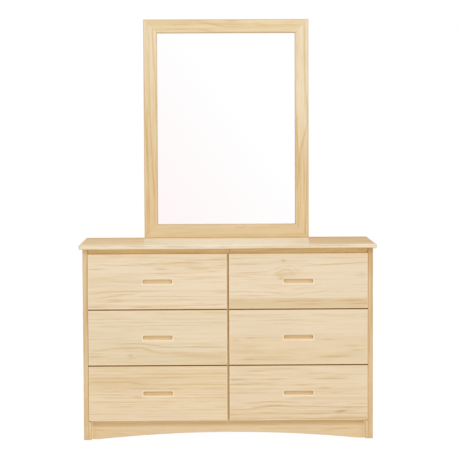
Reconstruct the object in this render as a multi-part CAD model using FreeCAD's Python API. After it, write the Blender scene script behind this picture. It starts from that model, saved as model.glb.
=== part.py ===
# A chest of six drawers with a framed mirror standing at the back of its top.
# Origin: on the floor, under the middle of the whole object. +X right, +Y back, +Z up. Millimetres.
import FreeCAD
import Part
import math
import os

# Drawer fronts
front_width = 561.5
front_height = 224.0
front_thickness = 19.0
front_edge_radius = 2.0
row_gap = 3.5                  # between one row of fronts and the next
column_gap = 8.0               # between the left and the right column
side_gap = 0.5                 # between a front and the side panel
row_names = ["bottom", "middle", "top"]

# Finger slot, routed into the face of each front
slot_length = 118.0
slot_height = 17.0
slot_depth = 10.0
slot_corner_radius = 5.0
slot_rim_radius = 1.5
grip_height = 4.0              # how far the grip is hollowed out behind the slot's upper edge
grip_lip = 5.0                 # thickness of the lip that the fingers pull on

# Carcase
panel_thickness = 20.0
case_depth = 430.0
panel_edge_radius = 1.5
plinth_height = 76.0           # foot of the side panels to the lowest fronts
top_reveal = 20.0              # highest fronts to the underside of the top
partition_thickness = 18.0
back_thickness = 5.0
back_rebate_width = 8.0
back_fit = 0.3                 # play of the back panel in its rebates
back_lift = 57.0               # foot of the side panels to the foot of the back panel
back_rail_thickness = 20.0
back_rail_height = 60.0
glide_diameter = 18.0
glide_height = 3.0
glide_inset = 40.0             # middle of a glide to the front or the back of its panel
glide_pin_diameter = 3.0
glide_pin_length = 15.0

# Top board
top_thickness = 18.0
top_front_overhang = 20.0
top_side_overhang = 14.0
top_edge_radius = 5.0
top_corner_radius = 7.0

# Face frame, behind the drawer fronts
stop_gap = 0.5                 # a closed front stands off the frame by this
frame_thickness = 20.0
stile_width = 16.0
centre_stile_width = 28.0
front_lap = 11.0               # how far a front laps the rail above it and the rail below it
arch_rise = 26.5
arch_chord = 1054.0
arch_edge_radius = 1.5

# Strips that widen the feet, in front of the stiles and flush with the side panels
foot_strip_width = 10.0
foot_strip_gap = 2.0           # head of a strip to the lowest fronts

# Drawer boxes
box_side_clearance = 3.0       # box to the edge of its opening
box_floor_clearance = 6.0
box_head_clearance = 20.0
box_rear_clearance = 10.0
box_side_thickness = 15.0
box_back_thickness = 12.0
box_edge_radius = 2.0          # along the upper edges of the sides and the back
box_joint_depth = 6.0          # sides let into the front, back let into the sides
box_rear_overhang = 8.0        # sides and bottom run past the back by this
bottom_thickness = 5.0
bottom_rise = 10.0             # lower edge of the box to its bottom board
bottom_groove_depth = 5.0
bottom_fit = 0.2

# Runners: strips on the carcase that run in a groove in each box side
runner_height = 18.0
runner_rise = 80.0             # lower edge of the box to the runner
runner_play = 0.3
runner_groove_depth = 8.0
runner_tip_gap = 0.5
runner_screw_inset = 50.0

# Cleats under the top and blocks behind the feet
cleat_size = 20.0
cleat_end_gap = 6.0
cleat_screw_count = 3
block_leg = 40.0
block_lift = 8.0
block_head_gap = 3.0

# Mirror
mirror_width = 699.0
mirror_height = 925.0
member_width = 57.0
member_thickness = 25.0
member_edge_radius = 2.0
glass_thickness = 4.0
glass_lap = 8.0
glass_fit = 0.5
backing_thickness = 3.0
backing_lap = 18.0
support_width = 50.0
support_thickness = 18.0
support_drop = 300.0           # how far a support runs down behind the carcase
support_reach = 520.0          # how far it runs up behind the mirror
support_edge_inset = 4.0
support_end_radius = 3.0

# Screws
screw_diameter = 4.0
screw_head_diameter = 8.0
screw_head_depth = 2.4
screw_fit = 0.1                # round the screw in its hole
screw_hold = 9.0               # how far a screw goes into the piece that holds it
screw_tip_cover = 2.0          # wood left between the tips of screws from both faces of a board
panel_screw_diameter = 3.0
panel_screw_head_diameter = 6.5
panel_screw_head_height = 1.6
panel_screw_length = 14.0
recess_share = 0.55            # width of the crossed slots to the width of the head
recess_slot = 0.9
recess_depth = 1.1
panel_screw_count = 5          # up each side of the back panel
backing_screw_count = 4        # along the top and the bottom of the mirror
support_screw_inset = 25.0
rail_screw_inset = 15.0

row_count = len(row_names)

# Widths, measured out from the middle
inner_half = column_gap / 2 + front_width + side_gap
case_half = inner_half + panel_thickness
top_half = case_half + top_side_overhang
opening_inner = centre_stile_width / 2
opening_outer = inner_half - stile_width

# Heights, measured up from the floor
foot = glide_height
fronts_foot = foot + plinth_height
fronts_head = fronts_foot + row_count * front_height + (row_count - 1) * row_gap
top_underside = fronts_head + top_reveal
top_face = top_underside + top_thickness
apron_head = fronts_foot + front_lap
back_foot = foot + back_lift

# Depths, front to back
total_depth = top_front_overhang + case_depth + support_thickness
face = top_front_overhang - total_depth / 2
front_back = face + front_thickness
frame_front = front_back + stop_gap
frame_back = frame_front + frame_thickness
case_back = face + case_depth
back_front = case_back - back_thickness
back_rail_front = back_front - back_rail_thickness
box_rear = back_rail_front - box_rear_clearance


def vector(x, y, z):
    return FreeCAD.Vector(x, y, z)


def block(xs, ys, zs):
    # A rectangular block between two places on each axis, given in either order.
    low = vector(min(xs), min(ys), min(zs))
    size = vector(max(xs), max(ys), max(zs)) - low
    return Part.makeBox(size.x, size.y, size.z, low)


def outwards(side, inner, outer):
    # Two distances from the middle as places on X; side is -1 for left and 1 for right.
    return side * inner, side * outer


def edges_where(shape, wanted):
    # The edges all of whose corner points satisfy a test.
    return [edge for edge in shape.Edges if all(wanted(v.Point) for v in edge.Vertexes)]


def near(a, b):
    return abs(a - b) < 1e-6


def round_edges(shape, radius, wanted):
    return shape.makeFillet(radius, edges_where(shape, wanted))


def prism(outline, along):
    # A closed outline of points, extruded by a vector.
    closed = Part.makePolygon(outline + outline[:1])
    return Part.Face(closed).extrude(along)


def evenly(first, last, count):
    # Places spread evenly from the first to the last, or one halfway between.
    if count < 2:
        return [(first + last) / 2]
    return [first + (last - first) * i / (count - 1) for i in range(count)]


def cross_recess(head_face, width):
    # The crossed slots that a driver fits, cut down from the face of a screw's head.
    slots = []
    for half_x, half_y in ((width / 2, recess_slot / 2), (recess_slot / 2, width / 2)):
        slots.append(block((-half_x, half_x), (-half_y, half_y), (head_face, head_face + recess_depth)))
    return slots[0].fuse(slots[1])


def pointed(shape, at, direction):
    # A screw made with its tip up, turned to a direction and moved to a point.
    shape.Placement = FreeCAD.Placement(at, FreeCAD.Rotation(vector(0, 0, 1), direction))
    return shape


def countersunk_screw(at, direction, length, fit=0.0):
    # A screw whose flat head lies flush at a point; fit widens it all round, for its hole.
    head_radius = screw_head_diameter / 2 + fit
    shank_radius = screw_diameter / 2 + fit
    head = Part.makeCone(head_radius, shank_radius, screw_head_depth)
    screw = head.fuse(Part.makeCylinder(shank_radius, length + fit))
    if not fit:
        screw = screw.cut(cross_recess(0.0, screw_head_diameter * recess_share))
    return pointed(screw, at, direction)


def pan_screw(at, direction, fit=0.0):
    # A screw whose head stands on the surface at a point and whose shank goes in.
    shank = Part.makeCylinder(panel_screw_diameter / 2 + fit, panel_screw_length + fit)
    low = vector(0, 0, -panel_screw_head_height)
    head = Part.makeCylinder(panel_screw_head_diameter / 2, panel_screw_head_height, low)
    rim = [edge for edge in head.Edges if near(edge.BoundBox.ZMax, low.z)]
    screw = head.makeFillet(panel_screw_head_height / 2, rim).fuse(shank)
    if not fit:
        screw = screw.cut(cross_recess(low.z, panel_screw_head_diameter * recess_share))
    return pointed(screw, at, direction)


def drilled(shape, holes):
    # The shape with every hole that reaches into it cut out.
    for hole in holes:
        if hole.BoundBox.intersect(shape.BoundBox):
            shape = shape.cut(hole)
    return shape


def save(name, *solids):
    solids = [solid for shape in solids for solid in shape.Solids]
    shape = solids[0] if len(solids) == 1 else Part.makeCompound(solids)
    shape.exportStep("parts/" + name + ".step")


def front_level(row):
    # Height of the lower edge of the fronts in a row, counted from the lowest.
    return fronts_foot + row * (front_height + row_gap)


def box_level(row):
    return front_level(row) + front_lap + box_floor_clearance


box_height = front_height - 2 * front_lap - box_floor_clearance - box_head_clearance
box_inner = opening_inner + box_side_clearance
box_outer = opening_outer - box_side_clearance


# ---- drawers ----

def rounded_slot(centre_x, centre_z, front_y, depth):
    # The routed pocket: a block with rounded upright corners, seen from the front.
    xs = (centre_x - slot_length / 2, centre_x + slot_length / 2)
    zs = (centre_z - slot_height / 2, centre_z + slot_height / 2)
    pocket = block(xs, (front_y, front_y + depth), zs)
    corners = [edge for edge in pocket.Edges if edge.BoundBox.YLength > depth / 2]
    return pocket.makeFillet(min(slot_corner_radius, slot_height / 2.1), corners)


def drawer_front(side, row):
    low = front_level(row)
    xs = outwards(side, column_gap / 2, column_gap / 2 + front_width)
    front = block(xs, (face, front_back), (low, low + front_height))
    front = round_edges(front, front_edge_radius, lambda p: near(p.y, face))
    centre_x = sum(xs) / 2
    centre_z = low + front_height / 2
    front = front.cut(rounded_slot(centre_x, centre_z, face, slot_depth))
    rim = [
        edge for edge in front.Edges
        if near(edge.BoundBox.YMin, face) and near(edge.BoundBox.YMax, face)
        and abs(edge.CenterOfMass.x - centre_x) < slot_length / 2 + 1
        and abs(edge.CenterOfMass.z - centre_z) < slot_height / 2 + 1
    ]
    front = front.makeFillet(slot_rim_radius, rim)
    grip_half = slot_length / 2 - slot_corner_radius
    slot_head = centre_z + slot_height / 2
    grip = block(
        (centre_x - grip_half, centre_x + grip_half),
        (face + grip_lip, face + slot_depth),
        (slot_head - 1, slot_head + grip_height),
    )
    front = front.cut(grip)
    box_low = box_level(row)
    for inner, outer in ((box_inner, box_inner + box_side_thickness),
                         (box_outer - box_side_thickness, box_outer)):
        dado = block(
            outwards(side, inner, outer),
            (front_back - box_joint_depth, front_back),
            (box_low, box_low + box_height),
        )
        front = front.cut(dado)
    groove = block(
        outwards(side, box_inner + box_side_thickness, box_outer - box_side_thickness),
        (front_back - bottom_groove_depth, front_back),
        (box_low + bottom_rise, box_low + bottom_rise + bottom_thickness + bottom_fit),
    )
    return front.cut(groove)


def drawer_side(side, row, is_outer):
    # One long side of a box: grooved inside for the bottom and outside for its runner.
    low = box_level(row)
    if is_outer:
        runner_face, inner_face = box_outer, box_outer - box_side_thickness
    else:
        runner_face, inner_face = box_inner, box_inner + box_side_thickness
    inward = math.copysign(1, inner_face - runner_face)
    panel = block(
        outwards(side, runner_face, inner_face),
        (front_back - box_joint_depth, box_rear),
        (low, low + box_height),
    )
    panel = round_edges(panel, box_edge_radius, lambda p: near(p.z, low + box_height))
    bottom_groove = block(
        outwards(side, inner_face - inward * bottom_groove_depth, inner_face),
        (front_back - box_joint_depth, box_rear),
        (low + bottom_rise, low + bottom_rise + bottom_thickness + bottom_fit),
    )
    runner_groove = block(
        outwards(side, runner_face, runner_face + inward * runner_groove_depth),
        (front_back, box_rear),
        (low + runner_rise - runner_play, low + runner_rise + runner_height + runner_play),
    )
    back_dado = block(
        outwards(side, inner_face - inward * box_joint_depth, inner_face),
        (box_rear - box_rear_overhang - box_back_thickness, box_rear - box_rear_overhang),
        (low + bottom_rise + bottom_thickness + bottom_fit, low + box_height),
    )
    return panel.cut(bottom_groove).cut(runner_groove).cut(back_dado)


def drawer_back(side, row):
    low = box_level(row)
    reach = box_side_thickness - box_joint_depth
    xs = outwards(side, box_inner + reach, box_outer - reach)
    back = block(
        xs,
        (box_rear - box_rear_overhang - box_back_thickness, box_rear - box_rear_overhang),
        (low + bottom_rise + bottom_thickness + bottom_fit, low + box_height),
    )
    long_edges = [
        edge for edge in back.Edges
        if near(edge.BoundBox.ZMin, low + box_height) and edge.BoundBox.XLength > box_back_thickness
    ]
    return back.makeFillet(box_edge_radius, long_edges)


def drawer_bottom(side, row):
    low = box_level(row) + bottom_rise
    reach = box_side_thickness - bottom_groove_depth + bottom_fit
    return block(
        outwards(side, box_inner + reach, box_outer - reach),
        (front_back - bottom_groove_depth + bottom_fit, box_rear),
        (low, low + bottom_thickness),
    )


def make_drawer(side, row):
    column = "left" if side < 0 else "right"
    name = row_names[row] + "_" + column + "_drawer_"
    save(name + "front", drawer_front(side, row))
    save(name + "left_side", drawer_side(side, row, side < 0))
    save(name + "right_side", drawer_side(side, row, side > 0))
    save(name + "back", drawer_back(side, row))
    save(name + "bottom", drawer_bottom(side, row))


# ---- carcase ----

def runner(side, row, is_outer):
    low = box_level(row) + runner_rise
    reach = runner_groove_depth - runner_tip_gap
    if is_outer:
        xs = outwards(side, box_outer - reach, inner_half)
    else:
        xs = outwards(side, partition_thickness / 2, box_inner + reach)
    return block(xs, (frame_back, back_rail_front), (low, low + runner_height))


def runner_screws(fit):
    # Two screws in each runner, from its free edge into the panel that carries it.
    screws = []
    reach = runner_groove_depth - runner_tip_gap
    outer_length = inner_half - (box_outer - reach) + screw_hold
    inner_hold = min(screw_hold, partition_thickness / 2 - screw_tip_cover)
    inner_length = box_inner + reach - partition_thickness / 2 + inner_hold
    for side in (-1, 1):
        for row in range(row_count):
            z = box_level(row) + runner_rise + runner_height / 2
            for y in (frame_back + runner_screw_inset, back_rail_front - runner_screw_inset):
                outer_at = vector(side * (box_outer - reach), y, z)
                inner_at = vector(side * (box_inner + reach), y, z)
                screws.append(countersunk_screw(outer_at, vector(side, 0, 0), outer_length, fit))
                screws.append(countersunk_screw(inner_at, vector(-side, 0, 0), inner_length, fit))
    return screws


def cleat_spans():
    # The cleats across the object: one on each side panel, one on each face of the partition.
    half = partition_thickness / 2
    return [
        (-inner_half, cleat_size - inner_half),
        (-half - cleat_size, -half),
        (half, half + cleat_size),
        (inner_half - cleat_size, inner_half),
    ]


def cleat_ends():
    return frame_back + cleat_end_gap, back_rail_front - cleat_end_gap


def cleats():
    return [block(xs, cleat_ends(), (top_underside - cleat_size, top_underside)) for xs in cleat_spans()]


def cleat_screws_up(fit):
    # Screws up through the cleats into the top board.
    start, end = cleat_ends()
    low = top_underside - cleat_size
    length = cleat_size + screw_hold
    return [
        countersunk_screw(vector(sum(xs) / 2, y, low), vector(0, 0, 1), length, fit)
        for xs in cleat_spans()
        for y in evenly(start + cleat_size, end - cleat_size, cleat_screw_count)
    ]


def glide_places():
    x = inner_half + panel_thickness / 2
    return [
        vector(side * x, y, 0)
        for side in (-1, 1)
        for y in (face + glide_inset, case_back - glide_inset)
    ]


def glide(at, fit=0.0):
    disc = Part.makeCylinder(glide_diameter / 2, glide_height, at)
    rim = [edge for edge in disc.Edges if near(edge.BoundBox.ZMax, at.z)]
    disc = disc.makeFillet(glide_height / 4, rim)
    pin = Part.makeCylinder(
        glide_pin_diameter / 2 + fit,
        glide_pin_length + fit,
        at + vector(0, 0, glide_height),
    )
    return disc.fuse(pin)


def side_panel(side):
    panel = block(outwards(side, inner_half, case_half), (face, case_back), (foot, top_underside))
    panel = round_edges(panel, panel_edge_radius, lambda p: near(p.y, face))
    rebate = block(
        outwards(side, inner_half, inner_half + back_rebate_width + back_fit),
        (back_front, case_back),
        (back_foot - back_fit, top_underside),
    )
    return panel.cut(rebate)


def back_panel():
    half = inner_half + back_rebate_width
    return block((-half, half), (back_front, case_back), (back_foot, top_underside))


def back_rail(low):
    return block(
        (-inner_half, inner_half),
        (back_rail_front, back_front),
        (low, low + back_rail_height),
    )


def back_panel_screws(fit):
    # From behind: up both side rebates, and into both back rails on each side of a support.
    side_x = inner_half + back_rebate_width / 2
    upper = top_underside - back_rail_height / 2
    lower = back_foot + back_rail_height / 2
    places = [(side_x, z) for z in evenly(lower, upper, panel_screw_count)]
    places += [(x, z) for x in (support_x / 2, (support_outer + inner_half) / 2) for z in (lower, upper)]
    return [
        pan_screw(vector(side * x, case_back, z), vector(0, -1, 0), fit)
        for side in (-1, 1)
        for x, z in places
    ]


def partition():
    half = partition_thickness / 2
    return block((-half, half), (frame_back, back_rail_front), (apron_head, top_underside))


def frame_ys():
    return frame_front, frame_back


def outer_stile(side):
    return block(outwards(side, opening_outer, inner_half), frame_ys(), (foot, top_underside))


def foot_strip(side):
    strip = block(
        outwards(side, inner_half - foot_strip_width, inner_half),
        (face, frame_front),
        (foot, fronts_foot - foot_strip_gap),
    )
    return round_edges(strip, panel_edge_radius, lambda p: near(p.y, face))


def centre_stile():
    return block((-opening_inner, opening_inner), frame_ys(), (apron_head, top_underside))


def top_rail(side):
    return block(
        outwards(side, opening_inner, opening_outer),
        frame_ys(),
        (fronts_head - front_lap, top_underside),
    )


def drawer_rail(side, row):
    # The rail behind the gap above a row of fronts.
    gap = front_level(row) + front_height
    return block(
        outwards(side, opening_inner, opening_outer),
        frame_ys(),
        (gap - front_lap, gap + row_gap + front_lap),
    )


def apron():
    board = block((-opening_outer, opening_outer), frame_ys(), (foot, apron_head))
    half_chord = min(arch_chord / 2, opening_outer - 1)
    radius = (half_chord ** 2 + arch_rise ** 2) / (2 * arch_rise)
    centre = vector(0, frame_front, foot + arch_rise - radius)
    board = board.cut(Part.makeCylinder(radius, frame_thickness, centre, vector(0, 1, 0)))
    return round_edges(board, arch_edge_radius, lambda p: near(p.y, frame_front) and p.z < apron_head)


def corner_block(side, front):
    # A three-cornered glue block between a side panel and the board that meets it.
    y = frame_back if front else back_rail_front
    step = block_leg if front else -block_leg
    low = foot + block_lift if front else back_foot
    outline = [
        vector(side * inner_half, y, low),
        vector(side * (inner_half - block_leg), y, low),
        vector(side * inner_half, y + step, low),
    ]
    return prism(outline, vector(0, 0, apron_head - block_head_gap - low))


def top_board():
    board = block((-top_half, top_half), (face - top_front_overhang, case_back), (top_underside, top_face))
    front_y = face - top_front_overhang
    corners = [
        edge for edge in board.Edges
        if edge.BoundBox.ZLength > top_thickness / 2 and near(edge.BoundBox.YMax, front_y)
    ]
    board = board.makeFillet(top_corner_radius, corners)
    edge_radius = min(top_edge_radius, top_thickness / 2.1)
    rim = [
        edge for edge in board.Edges
        if edge.BoundBox.ZLength < top_thickness / 2 and not near(edge.BoundBox.YMin, case_back)
    ]
    return board.makeFillet(edge_radius, rim)


# ---- mirror ----

mirror_centre_z = top_face + mirror_height / 2
mirror_front = case_back - member_thickness
glass_back = case_back - backing_thickness
glass_front = glass_back - glass_thickness
sight_half_width = mirror_width / 2 - member_width
sight_half_height = mirror_height / 2 - member_width
support_x = (mirror_width / 2 + sight_half_width + backing_lap) / 2
support_outer = mirror_width / 2 - support_edge_inset


def mirror_member(length, reach, turn):
    # One side of the frame, mitred at both ends and rebated behind for the glass and its
    # backing. It is made as the lower rail, then turned about the middle of the mirror.
    half = length / 2
    stick = block((-half, half), (mirror_front, case_back), (-reach, member_width - reach))
    stick = round_edges(stick, member_edge_radius, lambda p: near(p.y, mirror_front))
    inner = member_width - reach
    glass_rebate = block((-half, half), (glass_front, case_back), (inner - glass_lap, inner))
    backing_rebate = block((-half, half), (glass_back, case_back), (inner - backing_lap, inner))
    stick = stick.cut(glass_rebate).cut(backing_rebate)
    mitre = [
        vector(-half, mirror_front, -reach),
        vector(half, mirror_front, -reach),
        vector(half - member_width, mirror_front, inner),
        vector(member_width - half, mirror_front, inner),
    ]
    member = stick.common(prism(mitre, vector(0, member_thickness, 0)))
    member.rotate(vector(0, 0, 0), vector(0, 1, 0), turn)
    member.translate(vector(0, 0, mirror_centre_z))
    return member


def mirror_sheet(lap, fit, ys):
    half_width = sight_half_width + lap - fit
    half_height = sight_half_height + lap - fit
    zs = (mirror_centre_z - half_height, mirror_centre_z + half_height)
    return block((-half_width, half_width), ys, zs)


def support(side):
    xs = outwards(side, support_outer - support_width, support_outer)
    batten = block(xs, (case_back, case_back + support_thickness),
                   (top_face - support_drop, top_face + support_reach))
    back = case_back + support_thickness
    return round_edges(batten, support_end_radius, lambda p: near(p.y, back))


def support_screws(fit):
    # From behind, through each support into the back rail and into the mirror's stile.
    back = case_back + support_thickness
    rail_length = support_thickness + back_thickness + screw_hold
    stile_length = support_thickness + screw_hold
    rail_foot = top_underside - back_rail_height
    rail_levels = evenly(rail_foot + rail_screw_inset, top_underside - rail_screw_inset, 2)
    support_head = top_face + support_reach
    stile_levels = evenly(top_face + support_screw_inset, support_head - support_screw_inset, 3)
    screws = []
    for side in (-1, 1):
        for length, levels in ((rail_length, rail_levels), (stile_length, stile_levels)):
            for z in levels:
                at = vector(side * support_x, back, z)
                screws.append(countersunk_screw(at, vector(0, -1, 0), length, fit))
    return screws


def backing_screws(fit):
    ledge = (glass_lap + backing_lap) / 2
    x = sight_half_width - member_width
    z = sight_half_height + ledge
    return [
        pan_screw(vector(px, case_back, mirror_centre_z + sign * z), vector(0, -1, 0), fit)
        for sign in (-1, 1)
        for px in evenly(-x, x, backing_screw_count)
    ]


def main():
    os.makedirs("parts", exist_ok=True)

    for row in range(row_count):
        for side in (-1, 1):
            make_drawer(side, row)

    runner_holes = runner_screws(screw_fit)
    cleat_holes = cleat_screws_up(screw_fit)
    panel_holes = back_panel_screws(screw_fit)
    support_holes = support_screws(screw_fit)
    backing_holes = backing_screws(screw_fit)
    glide_holes = [glide(at, screw_fit) for at in glide_places()]

    for side, name in ((-1, "left"), (1, "right")):
        panel = side_panel(side)
        save(name + "_side_panel", drilled(panel, runner_holes + panel_holes + glide_holes))
        save(name + "_stile", outer_stile(side))
        runners = [runner(side, row, True) for row in range(row_count)]
        save(name + "_panel_runners", *[drilled(strip, runner_holes) for strip in runners])
    inner_runners = [runner(side, row, False) for side in (-1, 1) for row in range(row_count)]
    save("partition_runners", *[drilled(strip, runner_holes) for strip in inner_runners])
    save("centre_partition", drilled(partition(), runner_holes))
    save("centre_stile", centre_stile())
    save("foot_strips", *[foot_strip(side) for side in (-1, 1)])
    save("top_rails", *[top_rail(side) for side in (-1, 1)])
    save("drawer_rails", *[drawer_rail(side, row) for side in (-1, 1) for row in range(row_count - 1)])
    save("apron", apron())
    save("back_panel", drilled(back_panel(), panel_holes + support_holes))
    save("back_bottom_rail", drilled(back_rail(back_foot), panel_holes))
    upper_rail = back_rail(top_underside - back_rail_height)
    save("back_top_rail", drilled(upper_rail, panel_holes + support_holes))
    save("top_cleats", *[drilled(cleat, cleat_holes) for cleat in cleats()])
    save("corner_blocks", *[corner_block(side, front) for side in (-1, 1) for front in (True, False)])
    save("floor_glides", *[glide(at) for at in glide_places()])
    save("top_board", drilled(top_board(), cleat_holes))
    save("carcase_screws", *(runner_screws(0.0) + cleat_screws_up(0.0)))
    save("back_panel_screws", *back_panel_screws(0.0))

    members = (
        ("bottom_rail", mirror_width, mirror_height / 2, 0),
        ("left_stile", mirror_height, mirror_width / 2, 90),
        ("top_rail", mirror_width, mirror_height / 2, 180),
        ("right_stile", mirror_height, mirror_width / 2, 270),
    )
    for name, length, reach, turn in members:
        member = mirror_member(length, reach, turn)
        save("mirror_" + name, drilled(member, support_holes + backing_holes))
    save("mirror_glass", mirror_sheet(glass_lap, glass_fit, (glass_front, glass_back)))
    backing = mirror_sheet(backing_lap, glass_fit, (glass_back, case_back))
    save("mirror_backing", drilled(backing, backing_holes))
    supports = [support(side) for side in (-1, 1)]
    save("mirror_supports", *[drilled(batten, support_holes) for batten in supports])
    save("mirror_screws", *(support_screws(0.0) + backing_screws(0.0)))


main()
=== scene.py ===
import math

import bpy
import numpy as np
from mathutils import Matrix, Vector


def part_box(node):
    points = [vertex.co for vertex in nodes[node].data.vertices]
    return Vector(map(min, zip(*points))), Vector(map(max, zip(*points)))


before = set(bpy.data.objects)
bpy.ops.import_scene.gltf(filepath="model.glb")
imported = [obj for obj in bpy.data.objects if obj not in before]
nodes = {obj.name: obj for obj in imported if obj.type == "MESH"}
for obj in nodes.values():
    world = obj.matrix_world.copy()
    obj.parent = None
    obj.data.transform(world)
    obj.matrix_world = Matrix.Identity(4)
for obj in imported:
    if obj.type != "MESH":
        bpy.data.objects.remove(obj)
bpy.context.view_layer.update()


def paint(red, green, blue):
    # A colour as a screen shows it, 0 to 255, as the linear values that a shader wants.
    shown = np.array([red, green, blue]) / 255
    linear = np.where(shown <= 0.04045, shown / 12.92, ((shown + 0.055) / 1.055) ** 2.4)
    return (*[float(v) for v in linear], 1.0)


# camera and lamps

camera = {
    "place": (-0.0739, -7.3231, 1.3045),
    "turn": 0.0117,        # radians, to the right
    "dip": 0.0633,         # radians, downwards
    "roll": -0.0043,
    "focal": 1768.33,      # in pixels of a picture that is pictureWidth wide
    "pictureWidth": 460,
    "sensorWidth": 36.0,
    "farthest": 60.0,
}


def placeCamera(setting):
    # A camera looks straight down at first. It is rolled about its line of sight, raised until it
    # looks along +Y and a little down, and turned.
    data = bpy.data.cameras.new("camera")
    data.sensor_width = setting["sensorWidth"]
    data.lens = setting["focal"] * setting["sensorWidth"] / setting["pictureWidth"]
    data.clip_end = setting["farthest"]
    eye = bpy.data.objects.new("camera", data)
    turned = Matrix.Rotation(-setting["turn"], 4, "Z")
    dipped = Matrix.Rotation(math.pi / 2 - setting["dip"], 4, "X")
    rolled = Matrix.Rotation(setting["roll"], 4, "Z")
    eye.matrix_world = Matrix.Translation(setting["place"]) @ turned @ dipped @ rolled
    bpy.context.scene.collection.objects.link(eye)
    bpy.context.scene.camera = eye


lamps = {
    "aim": (0.0, -0.1, 0.8),
    "colour": (0.98, 0.99, 1.0),
    "key": {"place": (1.2, -5.8, 6.6), "size": 2.6, "power": 140.0},
    "front": {"place": (0.45, -9.0, 1.7), "size": 2.4, "power": 145.0},
}


def placeLamp(name, setting):
    own = setting[name]
    data = bpy.data.lights.new(name, "AREA")
    data.shape = "DISK"
    data.size = own["size"]
    data.energy = own["power"]
    data.color = setting["colour"]
    lamp = bpy.data.objects.new(name, data)
    lamp.location = own["place"]
    towards = Vector(setting["aim"]) - Vector(own["place"])
    lamp.rotation_euler = towards.to_track_quat("-Z", "Y").to_euler()
    bpy.context.scene.collection.objects.link(lamp)
    return lamp


placeCamera(camera)
placeLamp("key", lamps)
frontLamp = placeLamp("front", lamps)
frontLamp.visible_glossy = False      # the mirror looks straight at it
print("placed the camera and the lamps")


# node tools

def plug(tree, socket, value):
    # Joins another node's output to a socket, or sets the socket's own value.
    if isinstance(value, bpy.types.NodeSocket):
        tree.links.new(value, socket)
    elif value is not None:
        socket.default_value = value


def put(tree, kind, inputs=None, **settings):
    node = tree.nodes.new("ShaderNode" + kind)
    for key, value in settings.items():
        setattr(node, key, value)
    for key, value in (inputs or {}).items():
        plug(tree, node.inputs[key], value)
    return node


def calc(tree, operation, *values, clamp=False):
    node = put(tree, "Math", operation=operation, use_clamp=clamp)
    for socket, value in zip(node.inputs, values):
        plug(tree, socket, value)
    return node.outputs[0]


def plus(tree, first, second):
    return calc(tree, "ADD", first, second)


def minus(tree, first, second):
    return calc(tree, "SUBTRACT", first, second)


def times(tree, first, second):
    return calc(tree, "MULTIPLY", first, second)


def timesPlus(tree, value, factor, added):
    return calc(tree, "MULTIPLY_ADD", value, factor, added)


def vectorCalc(tree, operation, *values, scale=None):
    node = put(tree, "VectorMath", operation=operation)
    for socket, value in zip(node.inputs, values):
        plug(tree, socket, value)
    if scale is not None:
        plug(tree, node.inputs["Scale"], scale)
    return node.outputs["Value" if operation in ("LENGTH", "DOT_PRODUCT", "DISTANCE") else "Vector"]


def split(tree, vector):
    return put(tree, "SeparateXYZ", {0: vector}).outputs


def join(tree, x, y, z):
    return put(tree, "CombineXYZ", {0: x, 1: y, 2: z}).outputs[0]


def noise(tree, vector, scales, seed, detail=1.0, roughness=0.5):
    # The larger a scale, the shorter the pattern along that axis.
    scaled = vectorCalc(tree, "MULTIPLY", vector, scales)
    inputs = {"Vector": scaled, "W": seed, "Scale": 1.0, "Detail": detail, "Roughness": roughness}
    return put(tree, "TexNoise", inputs, noise_dimensions="4D").outputs[0]


def remap(tree, value, low, high, newLow=0.0, newHigh=1.0, smooth=False):
    kind = "SMOOTHSTEP" if smooth else "LINEAR"
    inputs = {"Value": value, "From Min": low, "From Max": high, "To Min": newLow, "To Max": newHigh}
    return put(tree, "MapRange", inputs, interpolation_type=kind).outputs[0]


def mixColour(tree, factor, first, second, blend="MIX"):
    node = put(tree, "Mix", data_type="RGBA", blend_type=blend)
    plug(tree, node.inputs[0], factor)
    plug(tree, node.inputs[6], first)
    plug(tree, node.inputs[7], second)
    return node.outputs[2]


def colourRamp(tree, value, stops, interpolation="LINEAR"):
    # Constant interpolation makes it a table: the colour of the last stop at or below the value.
    node = put(tree, "ValToRGB", {0: value})
    ramp = node.color_ramp
    ramp.interpolation = interpolation
    while len(ramp.elements) < len(stops):
        ramp.elements.new(1.0)
    for element, (place, colour) in zip(ramp.elements, sorted(stops)):
        element.position = place
        element.color = colour
    return node.outputs[0]


def newGroup(name, inputs, outputs):
    # A node group whose sockets are given as name and kind; returns its tree and both ends.
    tree = bpy.data.node_groups.new(name, "ShaderNodeTree")
    for label, kind in inputs:
        tree.interface.new_socket(label, in_out="INPUT", socket_type="NodeSocket" + kind)
    for label, kind in outputs:
        tree.interface.new_socket(label, in_out="OUTPUT", socket_type="NodeSocket" + kind)
    start = tree.nodes.new("NodeGroupInput").outputs
    end = tree.nodes.new("NodeGroupOutput").inputs
    return tree, start, end


def useGroup(tree, group, inputs):
    node = put(tree, "Group")
    node.node_tree = group
    for key, value in inputs.items():
        plug(tree, node.inputs[key], value)
    return node.outputs


def newMaterial(name):
    material = bpy.data.materials.new(name)
    material.use_nodes = True
    tree = material.node_tree
    return material, tree, tree.nodes["Principled BSDF"]


# how far a normal points along an axis where a face starts to count as turned that way, and counts
faceOn = (0.6, 0.8)


def tintMaterial(material, share, tint):
    # Multiplies a finished material's colour by a tint where the share is 1.
    tree = material.node_tree
    base = tree.nodes["Principled BSDF"].inputs["Base Color"]
    plug(tree, base, mixColour(tree, share, base.links[0].from_socket, tint, "MULTIPLY"))


def dress(node, material):
    for slot in nodes[node].material_slots:
        slot.material = material


# wood: what every board shares

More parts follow.
